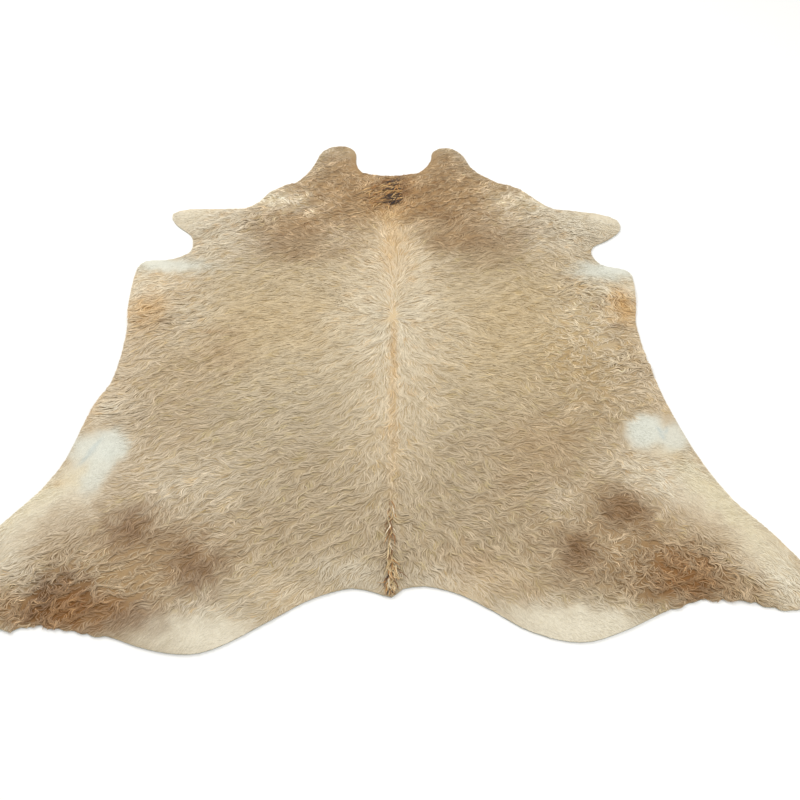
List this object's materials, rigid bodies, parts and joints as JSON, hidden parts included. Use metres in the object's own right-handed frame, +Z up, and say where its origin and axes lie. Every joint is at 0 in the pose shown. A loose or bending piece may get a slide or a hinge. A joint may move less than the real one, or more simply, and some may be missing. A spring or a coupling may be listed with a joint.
{
  "type": "cowhide rug",
  "caption": "Whole tanned cowhide lying flat, hair side up, with two neck lobes, short leg flaps, a tail stub and curly hair over its rear edges.",
  "frame": {"origin": "middle of the rug's box on its underside, level with the floor", "axes": "+Z up out of the hair side, +Y from tail to neck along the backbone, +X to the right of someone who looks along +Y"},
  "size_m": [2.0416, 2.172, 0.0136],
  "materials": {
    "hide": "hair-on tanned cowhide, beige hair over a pale suede flesh side, matt"
  },
  "bodies": {
    "root": {"hide": "hide"}
  },
  "joints": []
}
